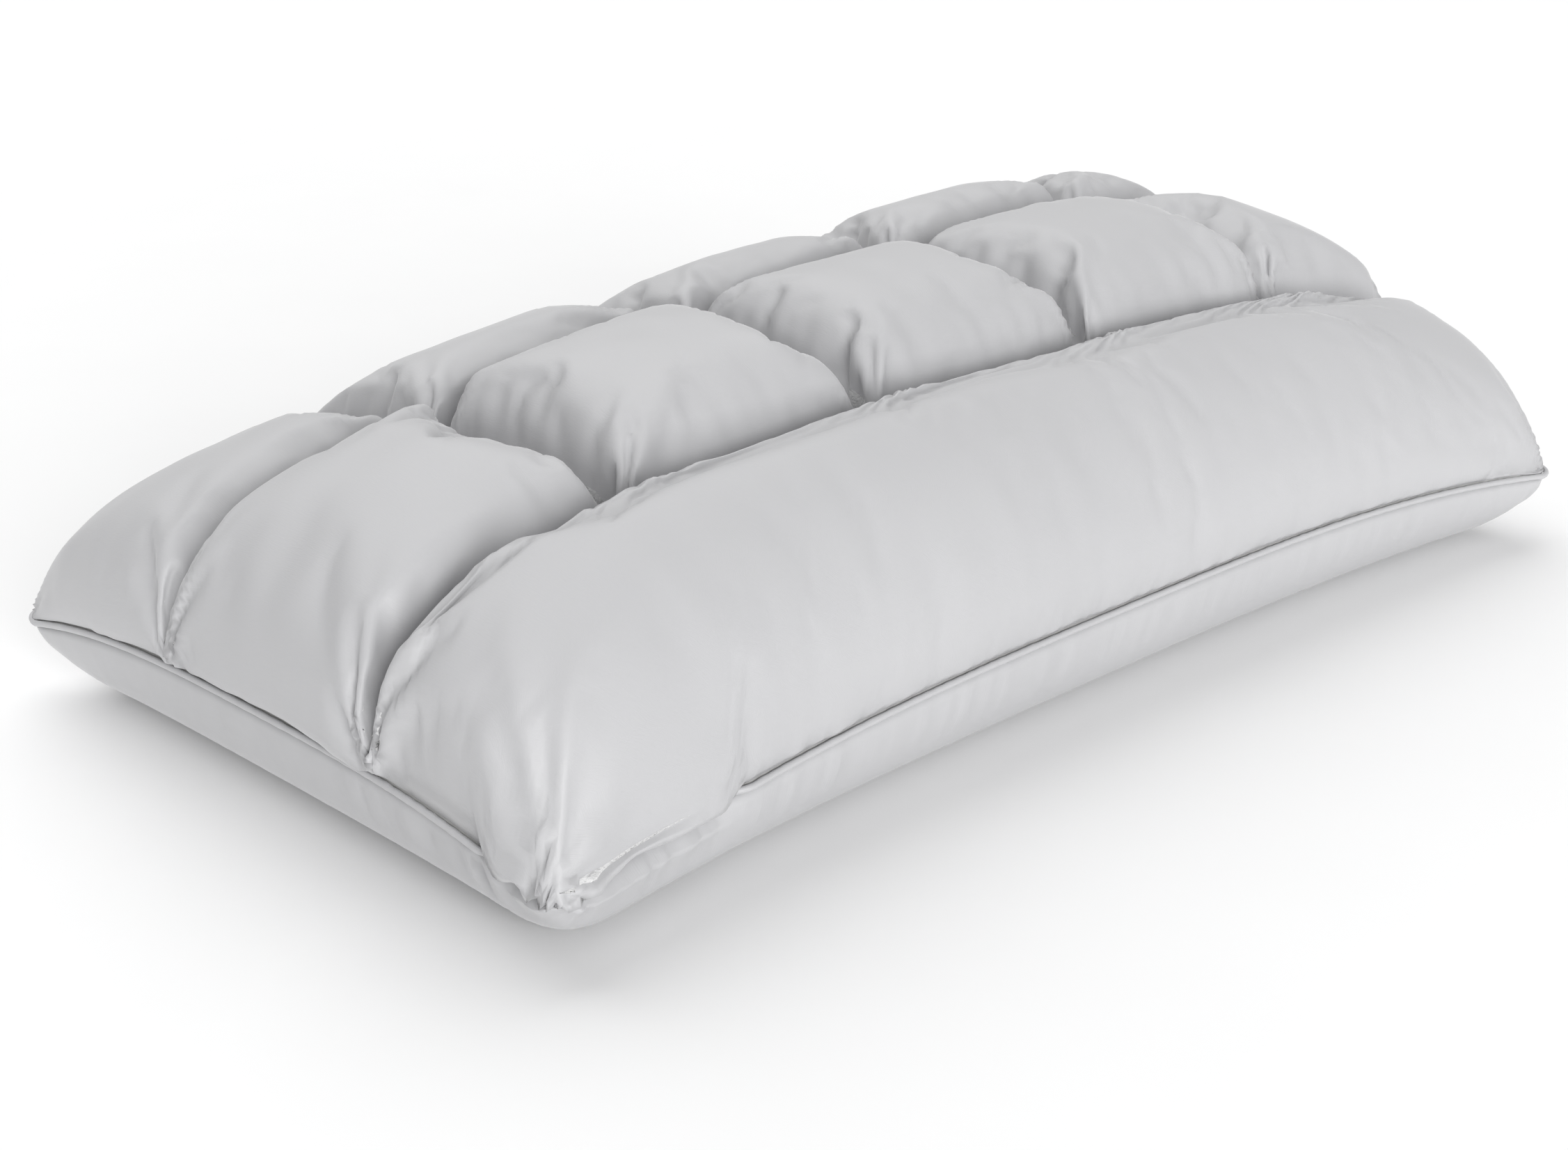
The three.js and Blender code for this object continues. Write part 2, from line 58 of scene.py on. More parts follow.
def mesh_piece(name, points, faces, smooth=True):
    """A mesh object from an array of points and an array of faces, at the origin."""
    mesh = bpy.data.meshes.new(name)
    mesh.from_pydata(np.asarray(points, float).reshape(-1, 3), [], np.asarray(faces).tolist())
    mesh.polygons.foreach_set("use_smooth", [smooth] * len(mesh.polygons))
    mesh.update()
    piece = bpy.data.objects.new(name, mesh)
    scene.collection.objects.link(piece)
    return piece


def grid_faces(rows, columns):
    """Quads of a grid of rows x columns points."""
    i, j = np.meshgrid(np.arange(rows - 1), np.arange(columns - 1), indexing="ij")
    a, b = (i * columns + j).ravel(), ((i + 1) * columns + j).ravel()
    return np.stack([a, b, b + 1, a + 1], axis=1)


def waves(x, y, length, seed, count=14):
    """A smooth random field, mostly from -1 to 1: a sum of cosines of about that wavelength, each
    with its own direction and phase, made smaller by the root of how many there are."""
    rng = np.random.default_rng(seed)
    angle, phase = rng.uniform(0, 2 * np.pi, (2, count))
    k = 2 * np.pi / (length * rng.uniform(0.7, 1.5, count))
    field = [np.cos(q * (x * np.cos(a) + y * np.sin(a)) + p) for q, a, p in zip(k, angle, phase)]
    return np.sum(field, axis=0) * math.sqrt(2 / count) / 2


print("helpers for meshes and waves are ready")

# %% [markdown]
# ## Cloth as a surface with a thickness
#
# Every cloth below is a sheet of points with a flat map in metres, so that the weave can follow the
# threads, and a Solidify modifier for its thickness. The thickness could be modelled as a second
# layer of points. The modifier is chosen because the sheet then stays one grid that is easy to read.

# %% A closed body between two grids
def closed_between(name, upper, lower):
    """A closed body from two grids of the same shape, upper over lower: the faces of both, and a
    wall that joins their edges all round."""
    rows, columns = upper.shape[:2]
    number = np.arange(rows * columns).reshape(rows, columns)
    ring = np.concatenate([number[:, 0], number[-1, 1:], number[-2::-1, -1], number[0, -2:0:-1]])
    after, below = np.roll(ring, -1), rows * columns
    wall = np.stack([ring, ring + below, after + below, after], axis=1)
    top = grid_faces(rows, columns)
    faces = np.concatenate([top, top[:, ::-1] + below, wall])
    return mesh_piece(name, np.concatenate([upper.reshape(-1, 3), lower.reshape(-1, 3)]), faces)


print("closed_between closes two grids into one body")


# %% Helpers for cloth
def flat_map(piece, places):
    """Gives a piece a UV map in metres from one place for each point."""
    corners = np.empty(len(piece.data.loops), int)
    piece.data.loops.foreach_get("vertex_index", corners)
    layer = piece.data.uv_layers.new(name="cloth")
    layer.uv.foreach_set("vector", places[corners].ravel())


def cloth_map(piece, grid):
    """Maps a piece made of one grid so that the weave follows the cloth: the length along each
    grid line from its start."""
    steps_i = np.linalg.norm(np.diff(grid, axis=0, prepend=grid[:1]), axis=-1)
    steps_j = np.linalg.norm(np.diff(grid, axis=1, prepend=grid[:, :1]), axis=-1)
    lengths = np.stack([np.cumsum(steps_i, axis=0), np.cumsum(steps_j, axis=1)], axis=-1)
    flat_map(piece, lengths.reshape(-1, 2))


def thicken(piece, thickness):
    """Gives a sheet its thickness, inwards, so that its outside stays where it is."""
    wall = piece.modifiers.new("cloth thickness", "SOLIDIFY")
    wall.thickness, wall.offset = thickness, -1


def surface_normals(grid):
    """The unit normal at each point of a grid: the cross product of the slopes along its lines."""
    normal = np.cross(np.gradient(grid, axis=0), np.gradient(grid, axis=1))
    return normal / np.maximum(np.linalg.norm(normal, axis=-1, keepdims=True), 1e-12)


def cloth_area(grid):
    """Area of a grid surface: half the cross product of each cell's diagonals."""
    d1, d2 = grid[1:, 1:] - grid[:-1, :-1], grid[1:, :-1] - grid[:-1, 1:]
    return float(np.linalg.norm(np.cross(d1, d2), axis=-1).sum() / 2)


cloth_thickness = {"cotton_cloth": 0.0008, "lining_cloth": 0.0005}
print("cloth thickness in metres:", cloth_thickness)

# %% [markdown]
# ## The camera
#
# The camera comes first, because everything else is judged through it. It stands at the front
# left of the pillow, a little over a metre away and a little above it. A short lens up close would
# fit the pillow in too, but it would swell the near corner. A lens slightly longer than normal is
# chosen, so that the near corner looks only a little larger than the far one.

# %% Camera at the front left
LOOKS_AT = Vector((-0.1027, -0.0585, 0.060))
DISTANCE = 1.1306
LENS = 56.5  # millimetres, on a sensor 36 wide


def direction(azimuth, elevation):
    """The unit vector from the pillow towards that azimuth, from -Y towards +X, and that height
    above the horizon, both in degrees."""
    a, e = math.radians(azimuth), math.radians(elevation)
    return Vector((math.sin(a) * math.cos(e), -math.cos(a) * math.cos(e), math.sin(e)))


back = direction(-44.29, 21.14)
camera_data = bpy.data.cameras.new("camera")
camera_data.sensor_width = 36
camera_data.lens = LENS
camera_data.clip_start = 0.01
camera = bpy.data.objects.new("camera", camera_data)
camera.location = LOOKS_AT + back * DISTANCE
camera.rotation_euler = back.to_track_quat("Z", "Y").to_euler()
scene.collection.objects.link(camera)
scene.camera = camera
print("camera at", tuple(round(c, 3) for c in camera.location))

# %% [markdown]
# ## Plan and seam
#
# The two panels are cut as rectangles and sewn together round the edge. Stuffing pulls the middle
# of each long side in, and lets the corners drop. The outline could be a curve drawn through chosen
# points, but then every other cloth would have to be fitted to it. Here a point of the pillow is
# given by u and v, which run from -1 to 1 along X and Y, and one formula, the plan, turns them into
# X and Y. All the cloths use it, so they meet at the seam by themselves.

# %% Sizes of the pillow
LENGTH, WIDTH = 0.700, 0.390  # seam to seam, at the corners
CORNER_RADIUS = 0.014
PULL_IN = 0.015  # of the middle of each long seam
SEAM_HEIGHT, CORNER_DROP = 0.052, 0.015
UNDERSIDE_REACH = 0.043  # from the seam in to where the underside meets the floor
ZIP_REACH = 0.249  # the back seam is straight out to here, for the zip
HALF_X, HALF_Y = LENGTH / 2, WIDTH / 2
MIDDLE_Y = HALF_Y - PULL_IN
DOME_RISE = 0.080  # of the lining over the seam, in the middle
LINING_LIFT = 0.0005  # of the lining over the seam's own line
print("the pillow is", LENGTH, "by", WIDTH, "m at its corners and", 2 * MIDDLE_Y, "m in the middle")


# %% Seam's place
def towards_corner(s, half):
    """0 in the middle of a side, rising as a cube to 1 where the corner's rounding starts."""
    return np.minimum(1, np.abs(s) / (1 - CORNER_RADIUS / half)) ** 3


def along_seam(u, v):
    """The same along the front seam. The back seam stays straight past the zip, then bends."""
    end = 1 - CORNER_RADIUS / HALF_X
    t = np.clip((np.abs(u) - ZIP_REACH / HALF_X) / (end - ZIP_REACH / HALF_X), 0, 1)
    return np.where(v < 0, towards_corner(u, HALF_X), t**2)


def ease(t):
    """0 below 0 and 1 above 1, smooth between them: 3 t squared less 2 t cubed."""
    t = np.clip(t, 0, 1)
    return t**2 * (3 - 2 * t)


def near_corner(u, v):
    """How strongly the cloth closes over the seam at the front left corner: 1 along the front as
    far as 85 mm from the corner and along the left end as far as 30 mm, and 0 from 105 and 45."""
    along_front, along_left = (1 + u) * HALF_X, (1 + v) * HALF_Y
    return ease((0.105 - along_front) / 0.020) * ease((0.045 - along_left) / 0.015)


def tuck(u, v):
    """How far the seam is drawn in, in X and Y, where the stuffed cloth closes over it: most at
    the seam, and fading as a bell curve 9 mm wide further in."""
    in_x, in_y, width = (1 + u) * HALF_X, (1 + v) * HALF_Y, 0.009
    amount = near_corner(u, v)
    tuck_x = 0.009 * amount * np.exp(-((in_x / width) ** 2))
    tuck_y = 0.010 * amount * np.exp(-((in_y / width) ** 2))
    return tuck_x, tuck_y


corner = np.array([-1.0])
print("the seam is tucked in by", [round(float(t[0]), 4) for t in tuck(corner, corner)], "m there")


# %% Plan of the pillow
def rounded_rectangle(a, b, half_x, half_y, radius):
    """X and Y of (a, b), both from -1 to 1: a rectangle drawn onto one with round corners, where
    each corner's square is squeezed onto a quarter disc."""
    x, y = np.abs(a) * half_x, np.abs(b) * half_y
    px = np.clip((x - half_x + radius) / radius, 0, 1)
    py = np.clip((y - half_y + radius) / radius, 0, 1)
    x = x + radius * px * (np.sqrt(1 - py**2 / 2) - 1)
    y = y + radius * py * (np.sqrt(1 - px**2 / 2) - 1)
    return np.sign(a) * x, np.sign(b) * y


def plan(u, v):
    """X and Y of (u, v): a rectangle with round corners whose long sides are pulled in between
    them, with the seam tucked in near the front left corner."""
    x, y = rounded_rectangle(np.abs(u), np.abs(v), HALF_X, HALF_Y, CORNER_RADIUS)
    y = y * (1 - PULL_IN / HALF_Y * (1 - along_seam(u, v)))
    tuck_x, tuck_y = tuck(u, v)
    return np.sign(u) * x + tuck_x, np.sign(v) * y + tuck_y


corner_x, corner_y = plan(np.array([1.0]), np.array([1.0]))
print("the back right corner is at", round(float(corner_x[0]), 4), round(float(corner_y[0]), 4))


# %% Heights of the seam and the lining
def seam_height(u, v):
    """Height of the seam: level along the sides, and lower towards the corners."""
    return SEAM_HEIGHT - CORNER_DROP * along_seam(u, v) * towards_corner(v, HALF_Y)


def end_fall(u, left, right):
    """1 in the middle of the length, falling to 0 at the ends. The powers say how late it falls at
    the left and at the right end."""
    return np.maximum(0, 1 - np.abs(u) ** np.where(u < 0, left, right))


def lining_height(u, v):
    """Height of the lining: a dome over the seam that leans a little towards the right end."""
    lengthwise = (0.97 + 0.06 * u) * end_fall(u, 2.3, 5) ** 0.65
    crosswise = np.maximum(0, 1 - np.abs(v) ** 2.2) ** 0.8
    return seam_height(u, v) + LINING_LIFT + DOME_RISE * lengthwise * crosswise


middle = np.zeros(1)
print("the lining is", round(float(lining_height(middle, middle)[0]), 4), "m high in the middle")

# %% [markdown]
# ## The quilted top panel
#
# On the real pillow the top panel is stitched down to the lining along two long seams and four
# cross seams, so it swells into one long roll and two rows of square chambers. It could be eleven
# cushions side by side, but the real cover is one cloth, and its folds run on from one chamber into
# the next. So it is one grid of points, whose spacing closes up towards each stitched line, where
# the cloth dives down. The formula gives each chamber a flat-topped crown that meets its seams
# almost upright.

# %% The quilting pattern
ROW_SEAM_FRONT, ROW_SEAM_BACK = -0.083, 0.051  # Y of the two long seams
CHAMBER_PITCH, PATTERN_SHIFT = 0.152, 0.008  # of the cross seams, along X
ROW_EDGES = np.array([-1, ROW_SEAM_FRONT / MIDDLE_Y, ROW_SEAM_BACK / MIDDLE_Y, 1])
CROSS_SEAMS = (PATTERN_SHIFT + CHAMBER_PITCH * np.array([-1.5, -0.5, 0.5, 1.5])) / HALF_X
COLUMN_EDGES = np.array([-1, *CROSS_SEAMS, 1])
CREST_Y = (-0.118, -0.014, 0.106)  # where each row is highest
# Each row's crest over the seam: its height, its lean to the right, and how late each end falls.
CRESTS = ((0.096, -0.03, 5.2, 3.7), (0.118, 0.05, 3.1, 5.4), (0.100, 0.17, 3.0, 7.0))
# How far in from a quilted seam the cloth is level again, after it and before it. The filling
# leans a little to the right and to the back, so each chamber is fuller there.
SHOULDERS = (0.018, 0.014)
RIM_SHOULDER = 0.060  # the same, from the rim
SLOT = 0.0022  # half the width of the slot between two chambers, at the stitching
COLUMN_COUNTS, ROW_COUNTS = [52, 54, 54, 54, 50], [64, 54, 60]  # grid steps in each chamber
print("chambers meet at x =", [round(float(c) * HALF_X, 3) for c in CROSS_SEAMS])


# %% Grid of the top panel
def quilt_steps(edges, counts):
    """Places between the edges, with counts steps in each chamber, close together at its seams:
    a little over half of a sine of even steps, plus the rest of the even steps themselves."""
    steps = [edges[:1]]
    for a, b, n in zip(edges[:-1], edges[1:], counts):
        s = np.linspace(-1, 1, n + 1)[1:]
        steps.append((a + b) / 2 + (0.55 * np.sin(s * np.pi / 2) + 0.45 * s) * (b - a) / 2)
    return np.concatenate(steps)


U = quilt_steps(COLUMN_EDGES, COLUMN_COUNTS)
V = quilt_steps(ROW_EDGES, ROW_COUNTS)
GU, GV = np.meshgrid(U, V, indexing="ij")
# The front roll has no cross seams, so there the spacing along it is even.
even_u = np.linspace(-1, 1, len(U))[:, None]
on_roll = np.clip((ROW_EDGES[1] - GV) / 0.15, 0, 1)
GU = GU + (even_u - GU) * on_roll**2 * (3 - 2 * on_roll)
seam_columns = np.cumsum([0, *COLUMN_COUNTS])
seam_rows = np.cumsum([0, *ROW_COUNTS])
print("the top panel's grid has", len(U), "by", len(V), "points")


# %% Loft of the chambers
def crown(s, a, b, reach_a, reach_b, slot, power=2.4):
    """0 as far as slot from a and b and 1 between them, rising upright from each over its reach,
    as a superellipse of that power does."""
    after_a = np.clip(1 - (s - a - slot) / reach_a, 0, 1)
    before_b = np.clip(1 - (b - s - slot) / reach_b, 0, 1)
    return (1 - np.maximum(after_a, before_b) ** power) ** (1 / power)


def between(s, edges, half):
    """The crown of the chambers between the edges. The outermost edges are the rim."""
    total = np.zeros_like(s)
    for n, (a, b) in enumerate(zip(edges[:-1], edges[1:])):
        reach_a = (RIM_SHOULDER if n == 0 else SHOULDERS[0]) / half
        reach_b = (RIM_SHOULDER if n == len(edges) - 2 else SHOULDERS[1]) / half
        slot = 0 if len(edges) == 2 else SLOT / half
        total = np.where((s >= a) & (s <= b), crown(s, a, b, reach_a, reach_b, slot), total)
    return total


def quilt_loft(u, v):
    """How high the top panel stands over the lining: what each row's crest line asks for, times
    the crown across the row and the crown along it. The front roll has no cross seams."""
    across = between(v, ROW_EDGES, MIDDLE_Y)
    chambers = between(u, COLUMN_EDGES, HALF_X)
    roll = between(u, np.array([-1.0, 1.0]), HALF_X)
    loft = np.zeros_like(u)
    for row, (y, (height, lean, left, right)) in enumerate(zip(CREST_Y, CRESTS)):
        inside = (v >= ROW_EDGES[row]) & (v <= ROW_EDGES[row + 1])
        crest = seam_height(u, 0 * v) + height * (1 + lean * u) * end_fall(u, left, right) ** 0.35
        over = np.maximum(0, crest - lining_height(u, 0 * v + y / MIDDLE_Y))
        loft = np.where(inside, over * across * (roll if row == 0 else chambers), loft)
    return loft


print("the loft is", round(float(quilt_loft(GU, GV).max()), 4), "m at the most")


# %% Walls over the rim, and the lap at the corner
def end_bulge(u, v):
    """How far the walls over the rim lean out: a sine of the distance in from the rim, which is
    steep at first. The short ends lean out more than the long sides."""
    lean = lambda inset: np.sin(np.pi * np.clip(inset / 0.075, 0, 1) ** 0.6)
    along = 0.020 * lean((1 - np.abs(u)) * HALF_X) * (1 - np.abs(v) ** 6)
    across = 0.012 * lean((1 - np.abs(v)) * MIDDLE_Y) * (1 - np.abs(u) ** 6)
    return np.sign(u) * along, np.sign(v) * across


def lap(u, v):
    """How far the top panel laps over the tucked seam: outwards at once, and back to nothing over
    a centimetre or two further in."""
    over = lambda inset: ease(inset / 0.0022) * np.exp(-((inset / 0.013) ** 2))
    amount = near_corner(u, v)
    return amount * over((1 + u) * HALF_X), amount * over((1 + v) * HALF_Y)


LAP_LEFT, LAP_FRONT, LAP_DOWN = 0.010, 0.011, 0.007  # how far the lap stands out, and hangs
LAP_FLATTENED = 0.75  # share of the rise over the seam that the lap takes away
OVER_LINING = 0.0012  # from the lining to the top panel, at the stitched lines
bulge_x, bulge_y = end_bulge(GU, GV)
lap_x, lap_y = lap(GU, GV)
bulge_x, bulge_y = bulge_x - LAP_LEFT * lap_x, bulge_y - LAP_FRONT * lap_y
print("the walls lean out", round(float(np.abs(bulge_x).max()), 4), "m at the most")

# %% Rough form of the top panel
top_x, top_y = plan(GU, GV)
rise = lining_height(GU, GV) + OVER_LINING + quilt_loft(GU, GV) - seam_height(GU, GV)
lapped = np.maximum(lap_x, lap_y)
hang = LAP_DOWN * lapped * ease(lapped * 3)
top_z = seam_height(GU, GV) + rise * (1 - LAP_FLATTENED * lapped) - hang
top_points = np.stack([top_x + bulge_x, top_y + bulge_y, top_z], axis=-1)
print("top panel grid:", top_points.shape, "highest", round(float(top_z.max()), 4))


# %% [markdown]
# ## Letting the cloth swell
#
# A stuffed cloth has wrinkles that nobody draws: they come from spare cloth that is held at a seam
# and pushed out by the filling. They could be drawn as waves alone, but then they look alike
# everywhere. So the formula starts them with small waves, and Blender's cloth simulation finishes
# the form. The stitched lines are pinned. The cloth is let grow, by a few per cent in most places
# and by up to a sixth at one corner, as if it had been cut larger and gathered in. A light pressure
# stands in for the filling, so it swells and the spare cloth runs into the seams as wrinkles. How
# far a point may move is capped, and only the moved points are kept.

# %% Cloth simulation of a panel
def swell(
    points, faces, pinned, slack, grow, pressure, frames, cap, stiff=12.0, bend=0.05, collide=None
):
    """The points after a cloth simulation from frame 1 to frames, and the longest move before the
    cap. pinned marks the points that stay, slack is the share of grow that each point gets, cap is
    the longest move kept, and collide is how close the cloth may come to itself, in metres."""
    piece = mesh_piece("swelling_cloth", points, faces)
    pins = piece.vertex_groups.new(name="pinned")
    pins.add(np.flatnonzero(pinned).tolist(), 1.0, "REPLACE")
    loose = piece.vertex_groups.new(name="slack")
    for level in np.unique(np.round(slack, 2)):
        loose.add(np.flatnonzero(np.round(slack, 2) == level).tolist(), float(level), "REPLACE")
    cloth = piece.modifiers.new("cloth", "CLOTH")
    s = cloth.settings
    s.quality = 5
    s.mass = 0.15
    s.air_damping = 2.0
    s.tension_stiffness = s.compression_stiffness = stiff
    s.shear_stiffness = stiff / 2
    s.bending_stiffness = bend
    s.vertex_group_mass = "pinned"
    s.use_pressure = True
    s.uniform_pressure_force = pressure
    s.vertex_group_shrink = "slack"
    s.shrink_min, s.shrink_max = 0.0, -grow
    s.effector_weights.gravity = 0
    cloth.collision_settings.use_collision = False
    cloth.collision_settings.use_self_collision = collide is not None
    if collide is not None:
        cloth.collision_settings.self_distance_min = collide
    cloth.point_cache.frame_start, cloth.point_cache.frame_end = 1, frames
    for f in range(1, frames + 1):
        scene.frame_set(f)
    moved = np.empty(len(points) * 3)
    piece.evaluated_get(bpy.context.evaluated_depsgraph_get()).data.vertices.foreach_get("co", moved)
    scene.frame_set(1)
    bpy.data.objects.remove(piece)
    move = moved.reshape(-1, 3) - points
    far = np.linalg.norm(move, axis=1, keepdims=True)
    return points + move * np.tanh(far / cap) * cap / np.maximum(far, 1e-9), float(far.max())


# %% Pins of the top panel
column, row_of = np.meshgrid(np.arange(len(U)), np.arange(len(V)), indexing="ij")
on_rim = (column == 0) | (column == len(U) - 1) | (row_of == 0) | (row_of == len(V) - 1)
on_long_seam = (row_of == seam_rows[1]) | (row_of == seam_rows[2])
on_cross_seam = np.isin(column, seam_columns) & (row_of >= seam_rows[1])
top_pinned = on_rim | on_long_seam | on_cross_seam
print(int(top_pinned.sum()), "points of the top panel are stitched down")


# %% Distances from the stitched lines
def nearest(s, places, half):
    """Distance in metres from s to the nearest of the places, both given from -1 to 1."""
    return np.min([np.abs(s - place) for place in places], axis=0) * half


to_long = nearest(GV, ROW_EDGES[1:3], MIDDLE_Y)
to_cross = nearest(GU, CROSS_SEAMS, HALF_X) + 1.0 * (GV < ROW_EDGES[1])
to_end = (1 - np.abs(GU)) * HALF_X
to_side = (1 - np.abs(GV)) * MIDDLE_Y
to_node = np.hypot(nearest(GV, ROW_EDGES[1:3], MIDDLE_Y), nearest(GU, CROSS_SEAMS, HALF_X))
flat_x, flat_y = GU * HALF_X, GV * MIDDLE_Y
print("farthest point from a long seam:", round(float(to_long.max()), 3), "m")


# %% Gathers along the stitched lines
def fade(distance, reach):
    """1 at no distance, and a falling exponential of (distance / reach) to the power 1.5."""
    return np.exp(-((distance / reach) ** 1.5))


def gathers(wavelength):
    """Small waves that start the wrinkles: waves along each seam, fading away from it."""
    along_x = waves(flat_x, 0 * flat_x, wavelength, seed=11)
    along_y = waves(0 * flat_y, flat_y, wavelength, seed=12)
    return (
        along_x * (fade(to_long, 0.014) + 0.3 * fade(to_side, 0.012))
        + along_y * (fade(to_cross, 0.014) + 0.3 * fade(to_end, 0.012))
        + 0.5 * waves(flat_x, flat_y, 0.030, seed=13)
    )


GATHER_HEIGHT, GATHER_LENGTH = 0.0010, 0.016
smoother = np.where(GV < ROW_EDGES[1], 0.5, 1.0)  # the front roll is gathered less
gathering = GATHER_HEIGHT * smoother * gathers(GATHER_LENGTH)
print("the gathers are", round(float(np.abs(gathering).max()), 4), "m high at the most")


# %% Folds round the ends of the stitched lines
def radiating_folds(x, y, at, folds, reach, seed):
    """Folds that run out from a point like spokes: a cosine of the angle round the point, drawn
    out unevenly, that starts a few millimetres from it and fades over the reach."""
    away, angle = np.hypot(x - at[0], y - at[1]), np.arctan2(y - at[1], x - at[0])
    uneven = folds * angle + 1.7 * np.sin(angle + seed) + 1.1 * np.sin(2 * angle + 2.3 * seed)
    return np.cos(uneven) * ease(away / 0.007) * fade(away, reach)


# Each pinch: its u and v, the height of its folds, how many there are, and how far they reach.
pinches = [(c, r, 0.0013, 10, 0.026) for c in CROSS_SEAMS for r in ROW_EDGES[1:3]]
pinches += [(c, r, 0.0022, 12, 0.030) for c in (-1, 1) for r in ROW_EDGES[1:3]]
pinches += [
    (-0.975, -0.955, 0.0026, 13, 0.042),  # the front left corner, where the seam is tucked in
    (1, -1, 0.0020, 14, 0.035),
    (1, 1, 0.0015, 14, 0.03),
    (-1, 1, 0.0015, 14, 0.03),
]
folds = sum(
    height * radiating_folds(flat_x, flat_y, (pu * HALF_X, pv * MIDDLE_Y), number, reach, seed=n)
    for n, (pu, pv, height, number, reach) in enumerate(pinches)
)
relief = (gathering + folds) * ~top_pinned
gathered = top_points + relief[..., None] * surface_normals(top_points)
print(len(pinches), "pinches")

# %% Slack of the top panel
# Most spare cloth is at the crossings and the front left corner, less of it along the seams.
to_corner = np.hypot(flat_x + HALF_X - 0.03, flat_y + MIDDLE_Y)
slack = 0.15 + 0.4 * fade(np.minimum(to_long, to_cross), 0.016) + 1.1 * fade(to_node, 0.030)
slack = np.clip((slack + 1.6 * fade(to_corner, 0.060)) / 3, 0, 1)
print("slack runs from", round(float(slack.min()), 2), "to", round(float(slack.max()), 2))

# %% Swelling of the top panel
top_faces = grid_faces(len(U), len(V))
top_flat = gathered.reshape(-1, 3)
top_flat, far = swell(
    top_flat, top_faces, top_pinned.ravel(), slack.ravel(),
    grow=0.16, pressure=8.0, frames=20, cap=0.014, stiff=8.0, bend=0.01, collide=0.001,
)
print("largest move of the top panel", round(far, 4), "m")

# %% Top panel
top_cloth = top_flat.reshape(*GU.shape, 3)
top_panel = mesh_piece("top_panel_cloth", top_flat, top_faces)
cloth_map(top_panel, top_cloth)
thicken(top_panel, cloth_thickness["cotton_cloth"])
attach(top_panel, "pillow")
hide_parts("top_panel")
print("top panel cloth:", round(cloth_area(top_cloth), 3), "m2")

# %% [markdown]
# ## The lining and the fillings
#
# The quilting is sewn to a lining under it, which closes each chamber from below, and a filling of
# fibre stands in each chamber. A filling could be a soft blob scaled to its chamber, but it would
# leave gaps or come through the cloth. So each one is cut from the finished top cloth: the cloth's
# own points, drawn in a little from it and from the seams, and closed below along the lining.

# %% Lining
LU, LV = np.meshgrid(np.linspace(-1, 1, 121), np.linspace(-1, 1, 81), indexing="ij")
lining_x, lining_y = plan(LU, LV)
lining_grid = np.stack([lining_x, lining_y, lining_height(LU, LV)], axis=-1)
lining = mesh_piece("chamber_lining_cloth", lining_grid, grid_faces(*LU.shape))
cloth_map(lining, lining_grid)
thicken(lining, cloth_thickness["lining_cloth"])
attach(lining, "pillow")
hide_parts("chamber_lining")
print("lining cloth:", round(cloth_area(lining_grid), 3), "m2")

# %% Room for the fillings
FILLING_EDGE = 3  # grid steps from a chamber's seams to its filling
FILLING_UNDER_CLOTH = 0.0022  # from the cloth's outside to the filling
FILLING_OVER_LINING = 0.0006
FILLING_LEAST = 0.0003  # thickness at the thinnest
under_cloth = top_cloth - FILLING_UNDER_CLOTH * surface_normals(top_cloth)
on_lining = np.stack([top_x, top_y, lining_height(GU, GV) + FILLING_OVER_LINING], axis=-1)
under_cloth[..., 2] = np.maximum(under_cloth[..., 2], on_lining[..., 2] + FILLING_LEAST)
print("the fillings reach up to", round(float(under_cloth[..., 2].max()), 4), "m")


# %% Fillings
def filling(name, columns, rows):
    """The filling of the chamber between those grid columns and rows."""
    inside = (
        slice(columns[0] + FILLING_EDGE, columns[1] - FILLING_EDGE + 1),
        slice(rows[0] + FILLING_EDGE, rows[1] - FILLING_EDGE + 1),
    )
    piece = closed_between(name + "_fibre", under_cloth[inside], on_lining[inside])
    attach(piece, "pillow")
    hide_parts(name)
    return piece


fillings = [filling("fill_front_roll", (0, len(U) - 1), seam_rows[0:2])]
for row, word in ((1, "middle"), (2, "back")):
    for n in range(5):
        fillings.append(filling(f"fill_{word}_{n + 1}", seam_columns[n : n + 2], seam_rows[row : row + 2]))
print(len(fillings), "fillings")

# %% [markdown]
# ## The foam core
#
# The core is one block of moulded foam with rounded corners, loose in its pocket, so that it can be
# taken out through the zip. A box with a bevel would do for a flat block, but this one is domed: its
# top follows the lining a little lower. So it is two grids, its top and its underside, joined round
# their edges.

# %% Foam core
CORE_HALF_X, CORE_HALF_Y, CORE_ROUNDING = 0.322, 0.153, 0.060
CORE_FORWARD = 0.002  # of the middle of the pocket, away from the zip
CORE_UNDER_LINING, CORE_LIFT = 0.007, 0.0035
CORE_EDGE = 0.014  # rounding of the foam's upper and lower edges
CORE_TURN_UP = 0.018  # of the underside at the outer edge, where the bottom panel turns up
even = np.linspace(-np.pi / 2, np.pi / 2, 41)
CA, CB = np.meshgrid(np.sin(even), np.sin(even), indexing="ij")
core_x, core_y = rounded_rectangle(CA, CB, CORE_HALF_X, CORE_HALF_Y, CORE_ROUNDING)
core_y = core_y - CORE_FORWARD
inset = np.minimum((1 - np.abs(CA)) * CORE_HALF_X, (1 - np.abs(CB)) * CORE_HALF_Y)
edge = CORE_EDGE * (1 - np.sqrt(1 - (1 - np.clip(inset / CORE_EDGE, 0, 1)) ** 2))
core_top = lining_height(core_x / HALF_X, core_y / MIDDLE_Y) - CORE_UNDER_LINING - edge
outermost = np.clip((np.maximum(np.abs(CA), np.abs(CB)) - 0.9) / 0.1, 0, 1)
core_bottom = CORE_LIFT + edge + CORE_TURN_UP * outermost
